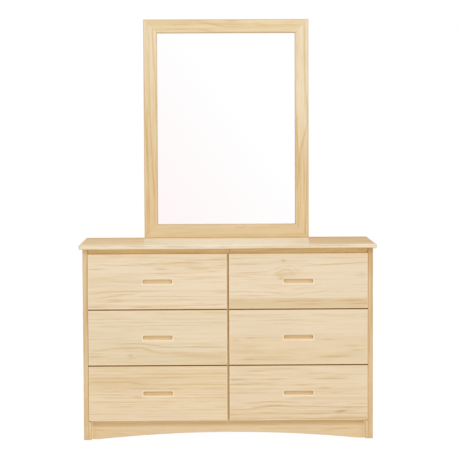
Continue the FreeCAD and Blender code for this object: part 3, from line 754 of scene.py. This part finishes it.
topBoard = {
    "wood": {"axes": "xyz", "contrast": 0.50, "lines": 0.8, "spacing": 0.011, "corners": 0.5},
    "staveCount": 5,
    "staveSeed": 5,
    "staveTints": [(1, 1, 1), (0.985, 0.97, 0.94), (0.995, 0.985, 0.965)],
    # painted light: the middle, before the mirror, is paler, most at the back; painted shade: the ends
    # darken towards the back
    "middleTints": ((1.075, 1.095, 1.06), (1.17, 1.26, 1.38)),    # at the front and at the back
    "leftTints": ((1.135, 1.115, 1.095), (1.06, 0.965, 0.835)),
    "rightTints": ((1.045, 1.00, 0.93), (1.00, 0.87, 0.70)),
    "leftReach": (0.3345, 0.3495),    # of the paler middle, at the front and at the back
    "rightReach": (0.3255, 0.3475),
    "border": 0.003,                  # half width of the border between the middle and an end
    "centre": 0.01,                   # half width of the border between left and right tints
    "middleGloss": 0.8,               # specular level
    "endGloss": 0.0,
    "edgeTint": (1.01, 1.065, 1.11),
    "shadeTint": (0.80, 0.64, 0.45, 1),    # along the lower arris of the front edge
    "shadeGrows": (-0.22, 0.20),           # places along the board between which it grows
    "shadeHeights": (0.0, 0.0046),         # from this height to this
    "shadeBorder": 0.0006,                 # half width of its upper border
    "shadeDepth": (0.006, 0.007),          # how far behind the front edge it wanes and ends
    "shadeEnd": (0.018, 0.012),            # how far from the right end it wanes and ends
    "streak": ((0.245, 0.7928), (0.110, 0.0018), 0.50),    # place, size, strength, on that edge
}


def makeTopMaterial(look):
    # Staves along the board. On the top, painted light pales the middle and painted shade darkens the ends
    # towards the back; the edges have a paler tint.
    half = boardMiddle("top_board")[1]
    low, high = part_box("top_board")
    staves = stavesAcross(half.y, look["staveCount"], look["staveSeed"], look["staveTints"])
    material = woodMaterial("topPine", "top_board", staves=staves, **look["wood"])
    tree = material.node_tree
    coordinates = put(tree, "TexCoord").outputs
    x, y, z = split(tree, coordinates["Object"])
    left = plus(tree, x, remap(tree, y, low[1], high[1], *look["leftReach"]))
    right = minus(tree, x, remap(tree, y, low[1], high[1], *look["rightReach"]))
    beyond = calc(tree, "MAXIMUM", times(tree, left, -1.0), right)
    beyond = remap(tree, beyond, -look["border"], look["border"])
    level = remap(tree, y, low[1], high[1])

    def tinted(name):
        front, back = look[name]
        return mixColour(tree, level, (*front, 1), (*back, 1))

    toRight = remap(tree, x, -look["centre"], look["centre"])
    ends = mixColour(tree, toRight, tinted("leftTints"), tinted("rightTints"))
    tint = mixColour(tree, beyond, tinted("middleTints"), ends)
    upward = remap(tree, split(tree, coordinates["Normal"])[2], *faceOn)
    tintMaterial(material, 1.0, mixColour(tree, upward, (*look["edgeTint"], 1), tint))
    gloss = remap(tree, beyond, 0.0, 1.0, look["middleGloss"], look["endGloss"])
    plug(tree, tree.nodes["Principled BSDF"].inputs["Specular IOR Level"], gloss)

    # The shade along the lower arris gets higher to the right, and a dark streak lies above it.
    atFront = remap(tree, y, *[low[1] + depth for depth in look["shadeDepth"]], 1.0, 0.0)
    beforeEnd = remap(tree, x, *[high[0] - rest for rest in look["shadeEnd"]], 1.0, 0.0)
    onEdge = times(tree, atFront, beforeEnd)
    shadeTop = remap(tree, x, *look["shadeGrows"], *look["shadeHeights"])
    over = minus(tree, minus(tree, z, low[2]), shadeTop)
    shade = remap(tree, over, -look["shadeBorder"], look["shadeBorder"], 1.0, 0.0)
    streak = swell(tree, join(tree, x, z, 0.0), *look["streak"])
    for mark in (shade, streak):
        tintMaterial(material, times(tree, mark, onEdge), look["shadeTint"])
    return material


dress("top_board", makeTopMaterial(topBoard))

sidePanels = {
    "wood": {"axes": "zyx", "contrast": 0.9, "lines": 1.4, "corners": 0.4},
    "staveCount": 5,
    "staveSeed": 7,
    "staveTints": [(0.99, 0.97, 0.93), (1, 1, 1), (0.985, 0.965, 0.925)],
    "frontPith": (-0.1, 0.12),    # the foremost stave's pith and seed, and its tint on each side
    "frontSeed": 12.0,
    "frontTints": {"left": (0.89, 0.80, 0.645), "right": (0.88, 0.765, 0.595)},
    "frontEdgeTints": {    # on the front edge, lighter at the foot and darker towards the head with painted shade under the top: height where a tint starts, height where it is full, tint
        "left": [(0.064, 0.058, (1.05, 1.12, 1.23, 1)), (0.755, 0.763, (0.98, 0.94, 0.87, 1))],
        "right": [(0.064, 0.058, (1.025, 1.12, 1.22, 1)), (0.630, 0.720, (0.90, 0.80, 0.67, 1)),
                  (0.755, 0.763, (0.93, 0.92, 0.86, 1))],
    },
}


def makePanelMaterial(side, look):
    # Upright staves, the foremost of them warmer, and along the front edge a lighter foot and a head
    # darkened with painted shade.
    node = side + "_side_panel"
    half = boardMiddle(node)[1]
    staves = stavesAcross(half.y, look["staveCount"], look["staveSeed"], look["staveTints"])
    staves[0] = (-half.y, *look["frontPith"], look["frontSeed"], look["frontTints"][side])
    material = woodMaterial(node + "Pine", node, staves=staves, **look["wood"])
    tree = material.node_tree
    coordinates = put(tree, "TexCoord").outputs
    height = split(tree, coordinates["Object"])[2]
    forward = remap(tree, split(tree, coordinates["Normal"])[1], -faceOn[0], -faceOn[1])
    for begin, full, tint in look["frontEdgeTints"][side]:
        tintMaterial(material, times(tree, forward, remap(tree, height, begin, full)), tint)
    return material


for side in ("left", "right"):
    dress(side + "_side_panel", makePanelMaterial(side, sidePanels))
print("dressed the top board and the side panels")

# face frame, apron and mirror frame

warm = {"pale": paint(230, 204, 164), "dark": paint(196, 148, 92)}
# the boards that stand in shade have it in their colours
shaded = {"pale": paint(246, 219, 159), "dark": paint(222, 176, 112), "corners": 0.0}
# the outer stiles' fade lightens their feet, which stand out of the shade painted into their colours higher
# up
outerStile = {"axes": "zxy", "seed": 71.0, "fade": ((0.93, 1.02, 1.28), (1.0, 1.0, 1.0), -0.85, -0.55)}
# the centre stile's tint deepens that painted shade in the narrow gap between the fronts
centreStile = {"axes": "zxy", "seed": 75.0, "tint": (0.93, 0.92, 0.93)}
footStrips = {"axes": "zxy", "seed": 73.0, "corners": 0.35}
topRails = {
    "seed": 77.0,
    "strokes": [
        (0.166, 0.0055, 0.11, 0.0022, 0.08, 0.55), (0.09, -0.003, 0.05, 0.003, 0.03, 0.42),
        (0.3, 0.013, 0.09, 0.0025, 0.0, 0.42), (-0.5, -0.0035, 0.07, 0.0028, 0.0, 0.48),
        (-0.17, -0.003, 0.06, 0.0028, 0.02, 0.48), (-0.1, 0.004, 0.05, 0.002, 0.05, 0.36),
        (0.44, -0.003, 0.09, 0.0022, 0.0, 0.36), (-0.34, 0.011, 0.08, 0.002, -0.02, 0.3),
    ],
}
apron = {
    "seed": 81.0, "spacing": 0.010, "pith": (0.10, 0.08), "contrast": 0.40, "corners": 0.35,
    "tint": (0.96, 0.91, 0.80),
    "strokes": [
        # shade under the fronts
        (0.0, 0.0265, 5.0, 0.0065, 0.003, 0.26), (0.0, 0.017, 5.0, 0.006, 0.007, 0.42),
        # grain
        (0.44, -0.006, 0.06, 0.0016, 0.14, 0.3), (0.49, -0.004, 0.05, 0.0016, 0.14, 0.3),
        (0.4, -0.012, 0.05, 0.0016, 0.12, 0.26), (0.5, 0.006, 0.04, 0.0016, 0.12, 0.26),
        (-0.44, -0.022, 0.06, 0.0018, -0.08, 0.3), (-0.5, -0.01, 0.05, 0.0016, -0.1, 0.26),
        (-0.36, -0.012, 0.05, 0.0016, -0.08, 0.24),
    ],
}
for side in ("left", "right"):
    dressWood(side + "_stile", side + "StilePine", **outerStile, **shaded)
dressWood("centre_stile", "centreStilePine", **centreStile, **shaded)
dressWood("foot_strips", "footStripPine", **footStrips, **warm)
dressWood("top_rails", "topRailPine", **topRails, **shaded)
dressWood("drawer_rails", "drawerRailPine", seed=79.0, **warm)
dressWood("apron", "apronPine", **apron)

mirrorPine = {
    "spacing": 0.0105, "contrast": 0.40, "lines": 0.55, "corners": 0.3,
    # a dark rim colour: painted shade along the arrises of the frame
    "rim": 0.42, "rimColour": paint(206, 168, 116),
}
# the stiles' fades and the bottom rail's tint darken the frame towards its foot: painted shade of the light
# falling off downwards
mirrorFrame = {
    "mirror_top_rail": {
        "seed": 91.0, "fade": ((0.955, 0.917, 0.787), (0.98, 0.955, 0.84), -1.0, 1.0),
        "strokes": [
            (-0.21, -0.0125, 0.085, 0.0022, 0.0, 0.62), (-0.085, -0.018, 0.04, 0.0022, -0.2, 0.55),
            (-0.05, 0.0055, 0.055, 0.0026, -0.18, 0.55), (0.02, -0.0035, 0.05, 0.0026, 0.0, 0.42),
            (0.2, -0.0045, 0.11, 0.0022, 0.0, 0.42), (0.2, -0.0235, 0.08, 0.002, 0.0, 0.42),
            (-0.13, 0.0225, 0.06, 0.0026, 0.0, 0.62), (0.025, 0.0225, 0.03, 0.0026, 0.0, 0.6),
            (-0.24, 0.02, 0.04, 0.002, 0.0, 0.4), (-0.13, 0.013, 0.09, 0.0018, -0.05, 0.35),
            (0.12, 0.01, 0.09, 0.0018, 0.05, 0.28), (0.27, 0.016, 0.04, 0.002, 0.03, 0.35),
        ],
    },
    "mirror_bottom_rail": {
        "seed": 92.0, "tint": (0.92, 0.905, 0.82),
        "strokes": [
            (0.055, 0.015, 0.022, 0.0026, 0.0, 0.45), (-0.06, 0.006, 0.045, 0.0018, 0.05, 0.4),
            (-0.19, -0.008, 0.07, 0.0018, 0.05, 0.35), (-0.22, 0.015, 0.06, 0.0018, 0.0, 0.3),
            (0.2, 0.013, 0.08, 0.0018, 0.0, 0.38), (0.22, 0.023, 0.07, 0.0026, 0.0, 0.45),
            (0.08, -0.01, 0.12, 0.0016, 0.03, 0.28), (-0.15, 0.0235, 0.12, 0.002, 0.0, 0.3),
        ],
    },
    "mirror_left_stile": {
        "axes": "zxy", "seed": 93.0, "fade": ((0.915, 0.860, 0.720), (1.00, 1.00, 0.965), -0.55, 0.9),
        "strokes": [
            (0.25, -0.0045, 0.12, 0.0022, -0.01, 0.6), (0.04, -0.0005, 0.11, 0.0024, -0.02, 0.55),
            (-0.1, 0.005, 0.11, 0.0028, -0.035, 0.62), (-0.24, 0.0125, 0.06, 0.003, -0.07, 0.8),
            (0.39, 0.0115, 0.06, 0.0024, -0.03, 0.7), (0.27, 0.0175, 0.09, 0.0026, -0.05, 0.7),
            (0.11, 0.024, 0.07, 0.0026, 0.0, 0.75), (0.11, -0.024, 0.12, 0.0026, -0.01, 0.6),
            (-0.02, -0.018, 0.08, 0.0034, -0.03, 0.8), (-0.15, -0.0135, 0.08, 0.003, -0.03, 0.7),
            (-0.29, -0.009, 0.09, 0.0026, -0.01, 0.55), (0.33, -0.019, 0.12, 0.0016, 0.0, 0.3),
            (-0.33, 0.015, 0.06, 0.002, 0.0, 0.4), (-0.18, 0.0225, 0.1, 0.002, 0.0, 0.4),
        ],
    },
    "mirror_right_stile": {
        "axes": "zxy", "seed": 94.0, "fade": ((0.94, 0.894, 0.768), (1.02, 1.04, 1.03), -0.4, 0.4),
        "strokes": [
            (0.33, 0.011, 0.16, 0.003, -0.006, 0.8), (0.13, 0.0185, 0.06, 0.0028, -0.06, 0.75),
            (0.06, 0.0235, 0.05, 0.0024, 0.0, 0.6), (-0.02, 0.0125, 0.04, 0.0026, 0.25, 0.55),
            (-0.085, -0.003, 0.05, 0.0034, 0.23, 0.7), (-0.17, -0.011, 0.06, 0.004, 0.08, 0.75),
            (-0.01, -0.0215, 0.09, 0.0026, -0.02, 0.7), (-0.13, -0.014, 0.07, 0.003, -0.05, 0.65),
            (-0.28, -0.006, 0.08, 0.0026, 0.0, 0.5), (-0.25, 0.0085, 0.07, 0.0024, 0.02, 0.5),
            (-0.24, 0.0205, 0.12, 0.0028, 0.0, 0.7), (-0.4, 0.015, 0.06, 0.0026, 0.03, 0.65),
            (-0.34, -0.016, 0.08, 0.002, 0.0, 0.4),
        ],
    },
}
for node, look in mirrorFrame.items():
    dressWood(node, node + "Pine", **mirrorPine, **look)
print("dressed the face frame, the apron and the mirror frame")

# drawer boxes, runners and what stands behind

boxPine = {"pale": paint(232, 212, 178), "dark": paint(206, 168, 118), "roughness": 0.58}
beech = {
    "axes": "yzx",
    "pale": paint(214, 176, 132),
    "dark": paint(178, 130, 86),
    "spacing": 0.0035,
    "swirl": 0.002,
    "contrast": 0.30,
    "flecks": 0.55,
    "roughness": 0.38,
}
plywood = {
    "pale": paint(226, 204, 168),
    "dark": paint(196, 160, 114),
    "spacing": 0.030,
    "swirl": 0.045,
    "pith": (0.02, 0.03),
    "contrast": 0.45,
    "plies": 3,
    "roughness": 0.60,
}
boxAxes = {"left_side": "yzx", "right_side": "yzx", "back": "xzy"}
innerAxes = {
    "centre_partition": "yzx", "top_cleats": "yzx", "corner_blocks": "zxy", "mirror_supports": "zxy",
    "back_top_rail": "xzy", "back_bottom_rail": "xzy",
}
runners = {
    "left_panel_runners": "leftRunnerBeech",
    "right_panel_runners": "rightRunnerBeech",
    "partition_runners": "partitionRunnerBeech",
}
# the seeds differ between the boards of a drawer
for row in ("bottom", "middle", "top"):
    for side in ("left", "right"):
        drawer = row + "_" + side + "_drawer_"
        for i, (part, axes) in enumerate(boxAxes.items()):
            seed = 13.0 * i + len(drawer)
            dressWood(drawer + part, drawer + part + "Pine", axes=axes, seed=seed, **boxPine)
        dressWood(drawer + "bottom", drawer + "bottomPly", axes="xyz", seed=3.0 * len(row), **plywood)
for i, (node, axes) in enumerate(innerAxes.items()):
    dressWood(node, node + "Pine", axes=axes, seed=7.0 * i + 2, **boxPine)
for node, name in runners.items():
    dressWood(node, name, **beech)
dressWood("back_panel", "backPly", seed=15.0, **plywood)
print("dressed the drawer boxes, the runners and the back")

# glass, metal, plastic and hardboard

glass = {
    "silver": (0.998, 0.998, 0.998, 1),
    "blush": (0.990, 0.925, 0.927, 1),        # towards the lower left corner
    "blushReach": (-0.15, 0.85),              # from the middle, 0, to the corner, 1
    "edge": paint(150, 190, 170),
    "edgeRoughness": 0.25,
    "smear": 0.004,
    "smearScales": (3.0, 3.0, 14.0),
    "smearLevels": (0.45, 0.75),              # of the noise, where a smear starts and is full
    "opening": (0.2925, 0.4055),              # half width and half height inside the frame
    "line": paint(128, 84, 50),               # painted shadow and reflection of the frame's inner edge, where the pane meets the frame
    "shadeLineWidths": (0.0004, 0.0001, 0.0010),   # at the sides, at the foot and at the head
    "shadeLineBorder": (0.7, 1.3),                 # where it wanes and ends, in its widths
}


def makeMirrorMaterial(look):
    # Silvered glass: a blush grows towards one corner, and the sawn edges show the green of the pane.
    material, tree, shader = newMaterial("mirrorSilver")
    middle, half = boardMiddle("mirror_glass")
    coordinates = put(tree, "TexCoord").outputs
    x, _, z = split(tree, vectorCalc(tree, "SUBTRACT", coordinates["Object"], middle))
    corner = plus(tree, calc(tree, "DIVIDE", x, -2 * half.x), calc(tree, "DIVIDE", z, -2 * half.z))
    colour = mixColour(tree, remap(tree, corner, *look["blushReach"]), look["silver"], look["blush"])
    # the frame's shadow and its reflection are painted as a dark line round the opening, widest at the head
    halfWide, halfHigh = look["opening"]
    sideLine, footLine, headLine = look["shadeLineWidths"]
    insets = [calc(tree, "DIVIDE", minus(tree, halfWide, calc(tree, "ABSOLUTE", x)), sideLine),
              calc(tree, "DIVIDE", plus(tree, halfHigh, z), footLine),
              calc(tree, "DIVIDE", minus(tree, halfHigh, z), headLine)]
    inset = calc(tree, "MINIMUM", calc(tree, "MINIMUM", *insets[:2]), insets[2])
    colour = mixColour(tree, remap(tree, inset, *look["shadeLineBorder"]), look["line"], colour)
    face = remap(tree, calc(tree, "ABSOLUTE", split(tree, coordinates["Normal"])[1]), *faceOn)
    plug(tree, shader.inputs["Base Color"], mixColour(tree, face, look["edge"], colour))
    plug(tree, shader.inputs["Metallic"], face)
    wiped = noise(tree, coordinates["Object"], look["smearScales"], seed=6.0, detail=3.0)
    wiped = remap(tree, wiped, *look["smearLevels"], 0.0, look["smear"])
    plug(tree, shader.inputs["Roughness"], remap(tree, face, 0.0, 1.0, look["edgeRoughness"], wiped))
    return material


mottle = {
    "cloudLevels": (0.35, 0.70),    # of the noise, where the dark colour starts and is full
    "speckLevels": (0.55, 0.75),
    "darkShare": 0.6,               # how much of the dark colour either of them gives by itself
    "roughClouds": 0.20,            # how much the roughness changes in clouds
    "roughSpecks": 0.16,            # and from speck to speck
    "speckHeight": 0.0002,          # of the relief, metres
}


def mottledMaterial(name, **changes):
    # Clouds and a fine speckle between two colours. Both show in the roughness, the specks in relief.
    look = {**mottle, **changes}
    material, tree, shader = newMaterial(name)
    place = put(tree, "TexCoord").outputs["Object"]
    cloud = noise(tree, place, look["cloud"], seed=2.0, detail=3.0)
    speck = noise(tree, place, look["speck"], seed=5.0, detail=2.0)
    clouded = remap(tree, cloud, *look["cloudLevels"])
    level = plus(tree, clouded, remap(tree, speck, *look["speckLevels"]))
    level = calc(tree, "MULTIPLY", level, look["darkShare"], clamp=True)
    plug(tree, shader.inputs["Base Color"], mixColour(tree, level, look["pale"], look["dark"]))
    gloss = timesPlus(tree, cloud, look["roughClouds"], look["roughness"] - look["roughClouds"] / 2)
    plug(tree, shader.inputs["Roughness"], timesPlus(tree, speck, look["roughSpecks"], gloss))
    shader.inputs["Metallic"].default_value = look["metallic"]
    inputs = {"Height": speck, "Strength": look["relief"], "Distance": look["speckHeight"]}
    plug(tree, shader.inputs["Normal"], put(tree, "Bump", inputs).outputs[0])
    return material


hardboard = {
    "pale": paint(140, 100, 66), "dark": paint(96, 64, 40),
    "cloud": (60.0, 60.0, 60.0), "speck": (1400.0, 1400.0, 400.0),
    "roughness": 0.66, "metallic": 0.0, "relief": 0.6,
}
zincSteel = {
    "pale": paint(198, 197, 190), "dark": paint(158, 154, 140),
    "cloud": (260.0, 260.0, 260.0), "speck": (2600.0, 2600.0, 2600.0),
    "roughness": 0.30, "metallic": 1.0, "relief": 0.2,
}
nylon = {
    "pale": paint(226, 222, 210), "dark": paint(196, 190, 174),
    "cloud": (150.0, 150.0, 150.0), "speck": (1800.0, 1800.0, 1800.0),
    "roughness": 0.42, "metallic": 0.0, "relief": 0.25,
}

dress("mirror_glass", makeMirrorMaterial(glass))
dress("mirror_backing", mottledMaterial("hardboard", **hardboard))
steel = mottledMaterial("zincSteel", **zincSteel)
for node in ("carcase_screws", "back_panel_screws", "mirror_screws"):
    dress(node, steel)
dress("floor_glides", mottledMaterial("nylon", **nylon))
print("dressed the glass, the screws and the glides")

# floor and world

stage = {
    "floorSize": 12.0,
    "floorPoints": 9,             # along each side of the floor
    "paper": 0.86,                # the share of light that the floor gives back
    "paperRoughness": 0.9,
    "shadow": 0.03,               # how much of the shadow is seen beneath the object
    "shadowReach": (0.7, 1.5),    # metres from the middle, from full shadow to none
    "seenWhite": 1.02,            # strength of the white that is seen in its place
    "worldColour": (1.0, 0.985, 0.965, 1),
    "worldStrength": 0.66,
}


def seenShare(tree):
    # 1 where the surface is seen, directly or in glass or metal, and 0 where it only gives light.
    rays = put(tree, "LightPath").outputs
    seen = calc(tree, "MAXIMUM", rays["Is Camera Ray"], rays["Is Glossy Ray"])
    return calc(tree, "MAXIMUM", seen, rays["Is Transmission Ray"])


def makeFloorMaterial(setting):
    material, tree, shader = newMaterial("floorPaper")
    shader.inputs["Base Color"].default_value = (setting["paper"], setting["paper"], setting["paper"], 1)
    shader.inputs["Roughness"].default_value = setting["paperRoughness"]
    shader.inputs["Specular IOR Level"].default_value = 0.0
    white = put(tree, "Emission", {"Color": (1, 1, 1, 1), "Strength": setting["seenWhite"]})
    away = vectorCalc(tree, "LENGTH", put(tree, "TexCoord").outputs["Object"])
    near, far = setting["shadowReach"]
    share = times(tree, seenShare(tree), remap(tree, away, near, far, 1.0 - setting["shadow"], 1.0))
    mixed = put(tree, "MixShader", {0: share, 1: shader.outputs[0], 2: white.outputs[0]})
    plug(tree, tree.nodes["Material Output"].inputs["Surface"], mixed.outputs[0])
    return material


def makeFloor(setting):
    # A flat square as a grid of two parameters, both running from -1 to 1.
    count = setting["floorPoints"]
    u, v = np.meshgrid(np.linspace(-1, 1, count), np.linspace(-1, 1, count))
    points = np.stack([u, v, 0 * u], axis=-1).reshape(-1, 3) * setting["floorSize"] / 2
    i = np.arange(count - 1)[:, None] * count + np.arange(count - 1)[None, :]
    faces = np.stack([i, i + 1, i + count + 1, i + count], axis=-1).reshape(-1, 4)
    mesh = bpy.data.meshes.new("floor")
    mesh.from_pydata(points.tolist(), [], faces.tolist())
    mesh.materials.append(makeFloorMaterial(setting))
    floor = bpy.data.objects.new("floor", mesh)
    bpy.context.scene.collection.objects.link(floor)


def makeWorld(setting):
    world = bpy.data.worlds.new("studio")
    bpy.context.scene.world = world
    world.use_nodes = True
    tree = world.node_tree
    glow = put(tree, "Background", {"Color": setting["worldColour"], "Strength": setting["worldStrength"]})
    white = put(tree, "Background", {"Color": (1, 1, 1, 1), "Strength": 1.0})
    mixed = put(tree, "MixShader", {0: seenShare(tree), 1: glow.outputs[0], 2: white.outputs[0]})
    plug(tree, tree.nodes["World Output"].inputs["Surface"], mixed.outputs[0])


makeFloor(stage)
makeWorld(stage)
bpy.context.scene.view_settings.view_transform = "Standard"
print("laid the floor and set the world")
